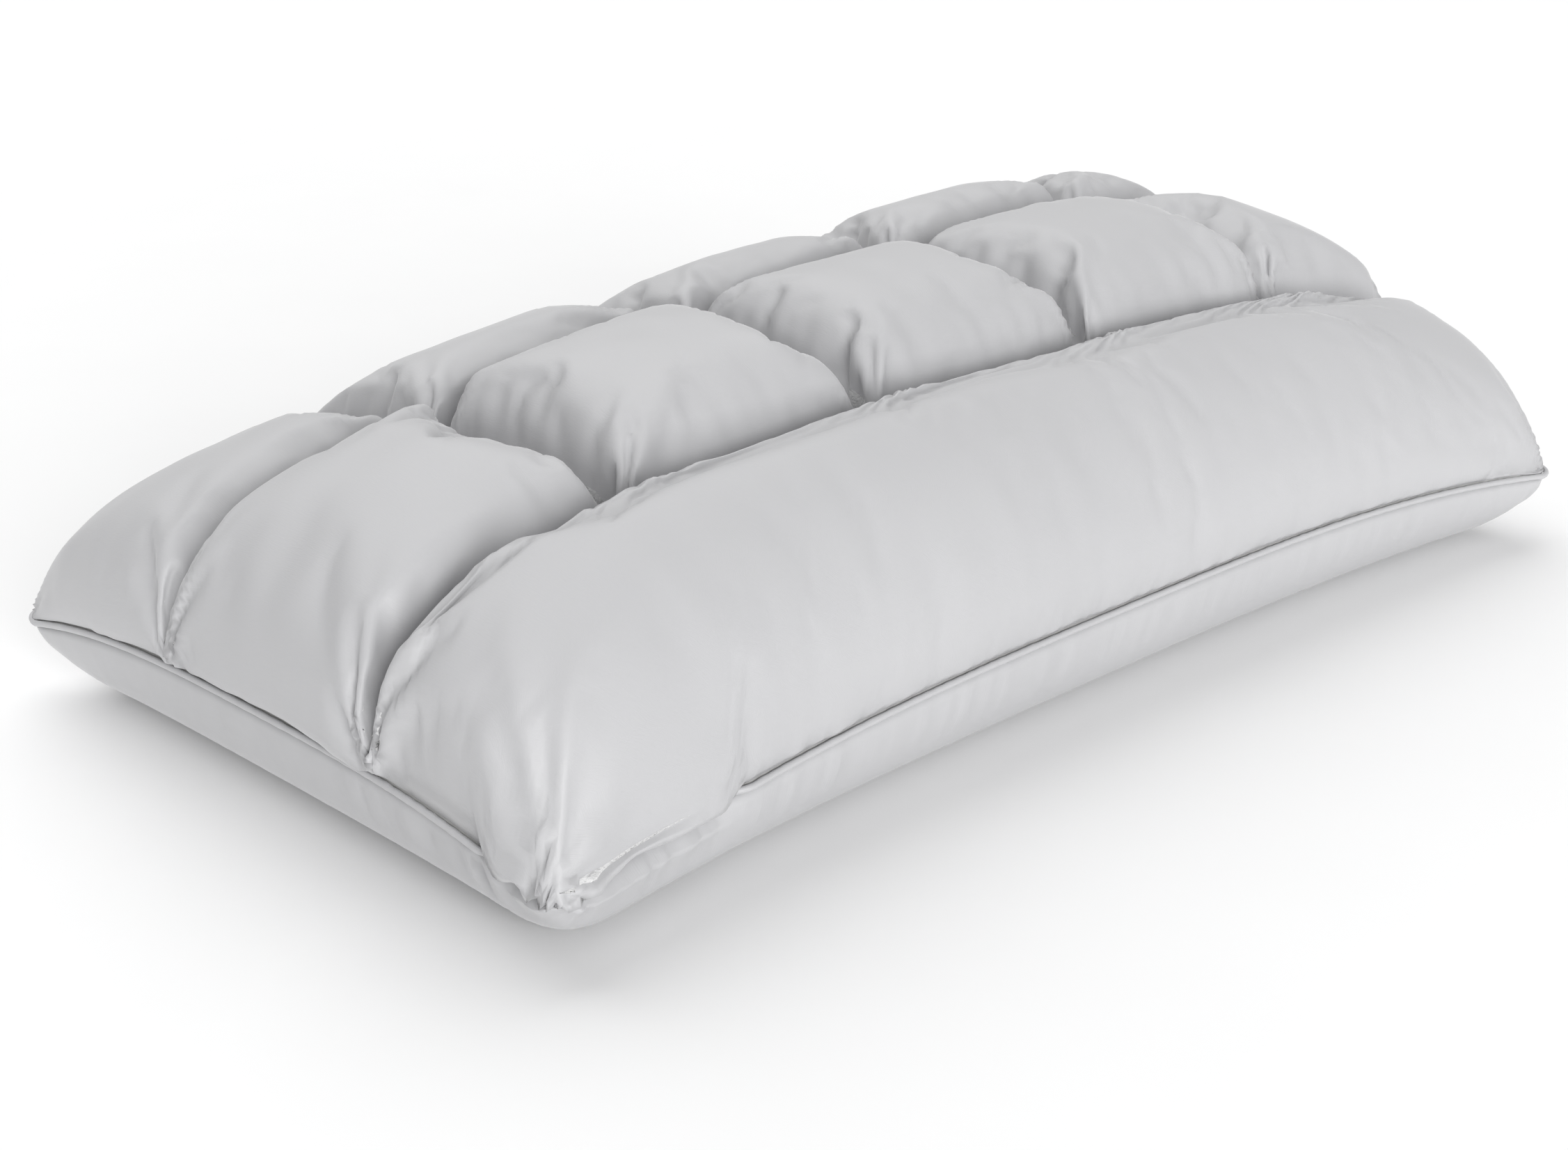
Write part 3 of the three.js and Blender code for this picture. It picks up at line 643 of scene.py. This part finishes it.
core = closed_between(
    "foam_core_block",
    np.stack([core_x, core_y, core_top], axis=-1),
    np.stack([core_x, core_y, core_bottom], axis=-1),
)
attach(core, "pillow")
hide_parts("foam_core")
print("core from", round(float(core_bottom.min()), 4), "to", round(float(core_top.max()), 4))

# %% [markdown]
# ## The bottom panel
#
# The bottom panel runs down from the seam as a low wall, turns under and lies flat. At the back it
# is cut away for the zip. The wall and the underside could be two pieces, but the real panel has no
# seam between them. So it is one grid, close together where it curves and wide apart where it is
# flat. Its wall is let swell too, with a little spare cloth, so that it puckers along the seam.

# %% Bottom panel's grid
UNDER_SEAM = 0.0023  # from the seam's line down to the panel's edge
WALL_STEPS = 16
ZIP_EDGE = 0.037  # height of the bottom panel's edge under the zip
ZIP_CUT = 0.238  # the panel is cut away from the middle out to here, so it covers the tapes' ends


def underside_height(u, v):
    """0 on the floor, rising as a quarter of an ellipse to just under the seam."""
    rim = seam_height(u, v) - UNDER_SEAM
    quarter = lambda inset: np.sqrt(1 - (1 - np.clip(inset / UNDERSIDE_REACH, 0, 1)) ** 2)
    return rim * (1 - quarter((1 - np.abs(u)) * HALF_X) * quarter((1 - np.abs(v)) * MIDDLE_Y))


def wall_steps(half, middle, first=()):
    """Places from edge to edge, even along the curve of the wall and even between the walls."""
    inset = UNDERSIDE_REACH * (1 - np.cos(np.linspace(0, np.pi / 2, WALL_STEPS))) / half
    flat = np.linspace(-1 + inset[-1], 1 - inset[-1], middle)[1:-1]
    return np.unique(np.round(np.concatenate([-1 + inset, flat, 1 - inset, first]), 6))


zip_inset = UNDERSIDE_REACH * (1 - math.sqrt(1 - (1 - ZIP_EDGE / (SEAM_HEIGHT - UNDER_SEAM)) ** 2))
zip_row = 1 - zip_inset / MIDDLE_Y
cut_u = ZIP_CUT / HALF_X
bottom_u = wall_steps(HALF_X, 180, (-cut_u, cut_u))
bottom_v = wall_steps(MIDDLE_Y, 70, (zip_row,))
BU, BV = np.meshgrid(bottom_u, bottom_v, indexing="ij")
bottom_x, bottom_y = plan(BU, BV)
bottom_grid = np.stack([bottom_x, bottom_y, underside_height(BU, BV)], axis=-1)
print("bottom panel grid:", bottom_grid.shape[:2])

# %% Puckers of the wall
def puckers(u, v):
    """How far the wall stands out in small folds square to the seam: waves along the seam that
    fade down the wall, strongest near the front left corner. There the wall also stands out as a
    whole, up to the lap of the top panel."""
    x, y = u * HALF_X, v * MIDDLE_Y
    down = lambda inset: np.exp(-inset / 0.006) * ease(inset / 0.0006)
    down_x, down_y = down((1 - np.abs(u)) * HALF_X), down((1 - np.abs(v)) * MIDDLE_Y)
    corner = np.hypot((1 + u) * HALF_X, (1 + v) * MIDDLE_Y)
    height = 0.0008 + 0.0022 * np.exp(-((corner / 0.080) ** 2))
    stand = 0.011 * near_corner(u, v)
    out_x = down_x * (height * waves(0 * x, y, 0.011, seed=21) + stand * (u < 0))
    out_y = down_y * (height * waves(x, 0 * y, 0.011, seed=22) + stand * (v < 0))
    return np.stack([np.sign(u) * out_x, np.sign(v) * out_y, 0 * x], axis=-1)


puckered = puckers(BU, BV)
print("the wall stands out", round(float(np.abs(puckered).max()), 4), "m at the most")

# %% Cutting away the bottom panel at the zip
middle_u, middle_v = (BU[1:, 1:] + BU[:-1, :-1]) / 2, (BV[1:, 1:] + BV[:-1, :-1]) / 2
cloth_there = ~((np.abs(middle_u) < cut_u) & (middle_v > zip_row - 1e-6))
bottom_faces = grid_faces(*BU.shape)[:, ::-1][cloth_there.ravel()]
bottom_flat = bottom_grid.reshape(-1, 3)
used = np.unique(bottom_faces)
renumber = np.full(len(bottom_flat), -1)
renumber[used] = np.arange(len(used))
rim_of_bottom = (np.abs(BU) > 1 - 1e-9) | (np.abs(BV) > 1 - 1e-9)
zip_opening = (np.abs(BU) < cut_u + 1e-6) & (BV > zip_row - 1e-6)
LIES_FLAT = 0.0012  # cloth lower than this stays where it is
lies_flat = bottom_grid[..., 2] < LIES_FLAT
bottom_pinned = (rim_of_bottom | zip_opening | lies_flat).ravel()[used]
bottom_flat, bottom_faces = bottom_flat[used], renumber[bottom_faces]
bottom_flat = bottom_flat + puckered.reshape(-1, 3)[used] * ~bottom_pinned[:, None]
print(len(bottom_faces), "faces are left of the bottom panel")

# %% Swelling of the bottom panel
OVER_FLOOR = 0.0002
near_seam = np.clip((bottom_flat[:, 2] - 0.004) / 0.03, 0, 1)
bottom_flat, far = swell(
    bottom_flat, bottom_faces, bottom_pinned, near_seam,
    grow=0.05, pressure=1.0, frames=14, cap=0.006,
)
bottom_flat[:, 2] = np.maximum(bottom_flat[:, 2], OVER_FLOOR)
print("largest move of the bottom panel", round(far, 4), "m")

# %% Bottom panel
bottom_panel = mesh_piece("bottom_panel_cloth", bottom_flat, bottom_faces)
flat_map(bottom_panel, np.stack([BU * HALF_X, BV * MIDDLE_Y], axis=-1).reshape(-1, 2)[used])
thicken(bottom_panel, cloth_thickness["cotton_cloth"])
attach(bottom_panel, "pillow")
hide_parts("bottom_panel")

# %% [markdown]
# ## The piping
#
# The piping is a strip of the same cotton folded round a thin cord and caught in the seam. A bevelled
# curve would give the tube, but not the small puckers along the side that is sewn, so it is a round
# section carried along the seam, just outside it, whose radius changes a little along the way.

# %% Path along the seam
def seam_path(count, out):
    """Points round the seam, evenly spaced, at a distance out from it. The seam is the image of
    the square's edge, and outwards is square to its direction in plan."""
    side = np.linspace(-1, 1, 400)[:-1]
    one = np.ones_like(side)
    u = np.concatenate([side, one, -side, -one])
    v = np.concatenate([-one, side, one, -side])
    x, y = plan(u, v)
    loop = np.stack([x, y, seam_height(u, v)], axis=-1)
    closed = np.concatenate([loop, loop[:1]])
    length = np.concatenate([[0], np.cumsum(np.linalg.norm(np.diff(closed, axis=0), axis=1))])
    at = np.linspace(0, length[-1], count, endpoint=False)
    path = np.stack([np.interp(at, length, closed[:, k]) for k in range(3)], axis=-1)
    along = np.roll(path, -1, axis=0) - np.roll(path, 1, axis=0)
    along /= np.linalg.norm(along, axis=1, keepdims=True)
    outward = np.cross(along, (0, 0, 1))
    outward /= np.linalg.norm(outward, axis=1, keepdims=True)
    return path + out * outward, along, outward, at


PIPING_OUT = 0.0016  # from the seam's line to the middle of the piping
PATH_POINTS = 2100
piping_path, piping_along, piping_outward, piping_at = seam_path(PATH_POINTS, PIPING_OUT)
print("piping length:", round(float(piping_at[-1]), 3), "m")


# %% Tube along a path
def tube(name, path, along, outward, radius, sides):
    """A closed ring of round sections: at each point of the path, sides points at the radius round
    the path's direction. radius may differ along the path and round the section."""
    turn = np.arange(sides) * 2 * np.pi / sides
    up = np.cross(outward, along)
    ring = outward[:, None] * np.cos(turn)[None, :, None] + up[:, None] * np.sin(turn)[None, :, None]
    points = path[:, None] + ring * np.broadcast_to(radius, (len(path), sides))[..., None]
    i, j = np.meshgrid(np.arange(len(path)), np.arange(sides), indexing="ij")
    next_i, next_j = (i + 1) % len(path), (j + 1) % sides
    number = lambda a, b: (a * sides + b).ravel()
    faces = np.stack([number(i, j), number(next_i, j), number(next_i, next_j), number(i, next_j)], axis=1)
    return mesh_piece(name, points, faces)


# %% Piping and its cord
PIPING_RADIUS, CORD_RADIUS, PIPING_SIDES = 0.0015, 0.0010, 12
pucker = waves(piping_at, 0 * piping_at, 0.008, seed=3)[:, None]
round_piping = np.arange(PIPING_SIDES) * 2 * np.pi / PIPING_SIDES
sewn_side = 0.5 - 0.5 * np.cos(round_piping)[None, :]
piping = tube(
    "piping_cloth", piping_path, piping_along, piping_outward,
    PIPING_RADIUS * (1 + 0.10 * pucker * (0.3 + 0.7 * sewn_side)), PIPING_SIDES,
)
cord = tube("piping_cord_core", piping_path, piping_along, piping_outward, CORD_RADIUS, sides=8)
print("piping faces:", len(piping.data.polygons), "cord faces:", len(cord.data.polygons))

# %% Maps and bodies of the piping and its cord
PIPING_STRIP = 0.010  # width of the strip that goes round the cord
for piece, slot, node in ((piping, "cotton_cloth", "piping_cover"), (cord, "cord", "piping_cord")):
    sides = len(piece.data.vertices) // len(piping_path)
    along_cloth = np.repeat(piping_at, sides)
    round_cloth = np.tile(np.arange(sides) * PIPING_STRIP / sides, len(piping_path))
    flat_map(piece, np.stack([along_cloth, round_cloth], axis=-1))
    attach(piece, "pillow")
    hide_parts(node)
    print(piece.name, "stands for", node)

# %% [markdown]
# ## Cut sizes of the cloths
#
# The quilted panel is cut longer and wider than the pillow and gathered in as it is sewn; its cloth's area
# is set against a cut of 0.82 by 0.60 m. The lining and the bottom panel are cut to fit, with an allowance
# for the seam, and are stretched over the core.

# %% Cut sizes
print("top panel's cloth is", round(cloth_area(top_cloth) / (0.82 * 0.60), 2), "of its cut area")

# %% [markdown]
# ## Finishes
#
# The cover is a smooth white sateen: a fine, close weave with long floats on its face, which give
# it a soft sheen. The weave could be drawn as a colour, but on a white cloth it shows only as
# relief, so it is a bump. It follows the cloth's own map, so it turns with the cloth, and a faint
# slow change of tone keeps the white from looking painted. The weave and the change of tone are node
# groups, because several materials use them.

# %% Node helpers
def new_group(name, inputs, outputs):
    """An empty node group with float inputs (name, value) and outputs (name, kind)."""
    group = bpy.data.node_groups.new(name, "ShaderNodeTree")
    for label, value in inputs:
        socket = group.interface.new_socket(label, in_out="INPUT", socket_type="NodeSocketFloat")
        socket.default_value = value
    for label, kind in outputs:
        group.interface.new_socket(label, in_out="OUTPUT", socket_type="NodeSocket" + kind)
    return group, group.nodes.new("NodeGroupInput"), group.nodes.new("NodeGroupOutput")


def maths(tree, operation, a, b=None):
    """A Math node of that operation on two sockets or numbers, and its result."""
    node = tree.nodes.new("ShaderNodeMath")
    node.operation = operation
    for socket, value in zip(node.inputs, (a, b)):
        if isinstance(value, (int, float)):
            socket.default_value = value
        elif value is not None:
            tree.links.new(value, socket)
    return node.outputs[0]


print("node helpers are ready")


# %% Weave
def weave_group():
    """Threads on the cloth's own map: noise drawn out along the cloth one way for the floats on
    its face, plus a third as much drawn out the other way for the threads between them. Noise is
    used and not a sine, because an even pattern finer than the render shows as false bands."""
    group, given, result = new_group(
        "sateen weave", [("Threads per metre", 1800.0)], [("Height", "Float")]
    )
    cloth = group.nodes.new("ShaderNodeUVMap")
    cloth.uv_map = "cloth"
    apart = group.nodes.new("ShaderNodeSeparateXYZ")
    group.links.new(cloth.outputs["UV"], apart.inputs[0])
    fine = given.outputs["Threads per metre"]
    drawn_out = maths(group, "DIVIDE", fine, 7.0)

    def threads(scale_x, scale_y):
        """Noise on the map, with the map's two directions drawn out each by its own scale."""
        place = group.nodes.new("ShaderNodeCombineXYZ")
        group.links.new(maths(group, "MULTIPLY", apart.outputs["X"], scale_x), place.inputs["X"])
        group.links.new(maths(group, "MULTIPLY", apart.outputs["Y"], scale_y), place.inputs["Y"])
        noise = group.nodes.new("ShaderNodeTexNoise")
        noise.inputs["Scale"].default_value = 1.0
        noise.inputs["Detail"].default_value = 0.0
        group.links.new(place.outputs[0], noise.inputs["Vector"])
        return noise.outputs["Fac"]

    floats, between_them = threads(fine, drawn_out), threads(drawn_out, fine)
    height = maths(group, "ADD", floats, maths(group, "MULTIPLY", between_them, 0.35))
    group.links.new(height, result.inputs["Height"])
    return group


weave = weave_group()
print("weave group:", len(weave.nodes), "nodes")


# %% Slow change of tone
def drift_group():
    """A slow change of tone over the object, from noise on its own coordinates: 0 to 1."""
    group, given, result = new_group("slow drift", [("Scale", 9.0)], [("Value", "Float")])
    place = group.nodes.new("ShaderNodeTexCoord")
    noise = group.nodes.new("ShaderNodeTexNoise")
    noise.inputs["Detail"].default_value = 3
    group.links.new(place.outputs["Object"], noise.inputs["Vector"])
    group.links.new(given.outputs["Scale"], noise.inputs["Scale"])
    group.links.new(noise.outputs["Fac"], result.inputs["Value"])
    return group


drift = drift_group()
print("drift group:", len(drift.nodes), "nodes")


# %% A material
SHEEN_ROUGHNESS = 0.35
GRAIN_SCALE = 700  # of the fine noise on what has no weave


def finish(name, light, dark, roughness, bump, drift_scale=9.0, sheen=0.0, threads=0.0):
    """A Principled material that drifts between two near colours. With threads, the weave group
    gives its bump; otherwise fine noise does. bump is in metres."""
    material = bpy.data.materials.new(name)
    material.use_nodes = True
    tree = material.node_tree
    shader = tree.nodes["Principled BSDF"]
    shader.inputs["Roughness"].default_value = roughness
    shader.inputs["Sheen Weight"].default_value = sheen
    shader.inputs["Sheen Roughness"].default_value = SHEEN_ROUGHNESS
    tone = tree.nodes.new("ShaderNodeGroup")
    tone.node_tree = drift
    tone.inputs["Scale"].default_value = drift_scale
    ramp = tree.nodes.new("ShaderNodeValToRGB")
    for stop, position, colour in zip(ramp.color_ramp.elements, (0.3, 0.7), (dark, light)):
        stop.position, stop.color = position, (*colour, 1)
    tree.links.new(tone.outputs["Value"], ramp.inputs["Fac"])
    tree.links.new(ramp.outputs["Color"], shader.inputs["Base Color"])
    relief = tree.nodes.new("ShaderNodeBump")
    relief.inputs["Distance"].default_value = bump
    if threads:
        cloth = tree.nodes.new("ShaderNodeGroup")
        cloth.node_tree = weave
        cloth.inputs["Threads per metre"].default_value = threads
        tree.links.new(cloth.outputs["Height"], relief.inputs["Height"])
    else:
        grain = tree.nodes.new("ShaderNodeTexNoise")
        grain.inputs["Scale"].default_value = GRAIN_SCALE
        place = tree.nodes.new("ShaderNodeTexCoord")
        tree.links.new(place.outputs["Object"], grain.inputs["Vector"])
        tree.links.new(grain.outputs["Fac"], relief.inputs["Height"])
    tree.links.new(relief.outputs["Normal"], shader.inputs["Normal"])
    return material


print("finish makes a material")


# %% Putting a material on a piece
def paint(piece, material):
    """Puts the material on the piece, in place of what it had."""
    piece.data.materials.clear()
    piece.data.materials.append(material)


print("paint puts a material on")

# %% Finish of the cover
cotton = finish(
    "white cotton sateen", (0.468, 0.468, 0.478), (0.452, 0.452, 0.462), roughness=0.5,
    bump=0.00004, sheen=0.25, threads=1800.0,
)
for piece in (top_panel, bottom_panel, piping):
    paint(piece, cotton)
print("cover:", cotton.name)

# %% Finishes of the inside
lining_finish = finish(
    "lining cotton", (0.60, 0.60, 0.59), (0.55, 0.55, 0.54), roughness=0.8,
    bump=0.00006, threads=1100.0,
)
cord_finish = finish(
    "cotton cord", (0.66, 0.64, 0.58), (0.58, 0.56, 0.50), roughness=0.9,
    bump=0.0001, threads=900.0,
)
foam = finish("moulded foam", (0.74, 0.71, 0.62), (0.66, 0.63, 0.54), roughness=0.9, bump=0.0004)
fibre = finish(
    "polyester fibre", (0.72, 0.72, 0.72), (0.62, 0.62, 0.62), roughness=0.95,
    bump=0.0008, drift_scale=40.0, sheen=0.4,
)
paint(lining, lining_finish)
paint(cord, cord_finish)
paint(core, foam)
for piece in fillings:
    paint(piece, fibre)
print("inside:", lining_finish.name, cord_finish.name, foam.name, fibre.name)

# %% [markdown]
# ## The zip
#
# The zip is already in the right shape, so its pieces stay and get new finishes: woven tapes, nylon
# coils and stops, and an enamelled slider and puller. All three are white, like the cover. They
# could share one finish, but the enamel is smoother and the tapes rougher than the nylon.

# %% Finishes of the zip
tape = finish("zip tape weave", (0.60, 0.60, 0.61), (0.55, 0.55, 0.56), roughness=0.75, bump=0.0001)
nylon = finish("zip nylon", (0.58, 0.58, 0.59), (0.54, 0.54, 0.55), roughness=0.38, bump=0.00001)
enamel = finish("white enamel", (0.62, 0.62, 0.62), (0.58, 0.58, 0.58), roughness=0.28, bump=0.000004)
for names, material in (
    (("zip_tape_upper", "zip_tape_lower"), tape),
    (("zip_coil_upper", "zip_coil_lower", "zip_stop_closed", "zip_stop_open"), nylon),
    (("zip_slider", "zip_puller"), enamel),
):
    for name in names:
        paint(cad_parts[name], material)
    print(material.name, "on", names)

# %% [markdown]
# ## Floor and light
#
# The floor is white, bright enough to show as nearly plain white, and so wide that its edge is far
# off. The pillow could be lit by one big lamp close by, but its light would fall off across the
# floor. Distant lights fall evenly, and a wide angle makes their shadows soft. A low one from the
# front lights the faces that look forwards. A high one from behind lights the back and puts a soft
# shadow under the front edge. The sky fills the rest, so the valleys are only a little darker.

# %% Floor
FLOOR_REACH = 30
floor_corners = [(x * FLOOR_REACH, y * FLOOR_REACH, 0) for x, y in ((-1, -1), (1, -1), (1, 1), (-1, 1))]
floor = mesh_piece("floor", floor_corners, [(0, 1, 2, 3)], smooth=False)
paint(floor, finish("white floor", (0.95, 0.95, 0.95), (0.94, 0.94, 0.94), roughness=0.9, bump=0.0))
print("the floor is", 2 * FLOOR_REACH, "m wide")

# %% Sky
SKY_STRENGTH = 0.42
world = bpy.data.worlds.new("studio")
scene.world = world
world.use_nodes = True
sky = world.node_tree.nodes["Background"]
sky.inputs["Color"].default_value = (1, 1, 1, 1)
sky.inputs["Strength"].default_value = SKY_STRENGTH  # what falls on the pillow from all round
seen_sky = world.node_tree.nodes.new("ShaderNodeBackground")  # what shows past the floor's edge
seen_sky.inputs["Color"].default_value = (1, 1, 1, 1)
which = world.node_tree.nodes.new("ShaderNodeMixShader")
for source, target in (
    (world.node_tree.nodes.new("ShaderNodeLightPath").outputs["Is Camera Ray"], which.inputs[0]),
    (sky.outputs[0], which.inputs[1]),
    (seen_sky.outputs[0], which.inputs[2]),
    (which.outputs[0], world.node_tree.nodes["World Output"].inputs["Surface"]),
):
    world.node_tree.links.new(source, target)
print("sky strength", SKY_STRENGTH)


# %% Lights
def soft_light(name, azimuth, elevation, spread, strength):
    """A distant light from that direction, in degrees, as wide in the sky as spread, so that it
    falls evenly on the whole floor and its shadows are soft."""
    towards = direction(azimuth, elevation)
    data = bpy.data.lights.new(name, "SUN")
    data.angle, data.energy = math.radians(spread), strength
    light = bpy.data.objects.new(name, data)
    light.location = towards * 2
    light.rotation_euler = towards.to_track_quat("Z", "Y").to_euler()
    scene.collection.objects.link(light)
    print(name, "from", [round(c, 2) for c in towards])


soft_light("front light", azimuth=-22, elevation=12, spread=35, strength=3.0)
soft_light("high back light", azimuth=160, elevation=54, spread=70, strength=1.75)
scene.view_settings.view_transform = "Standard"
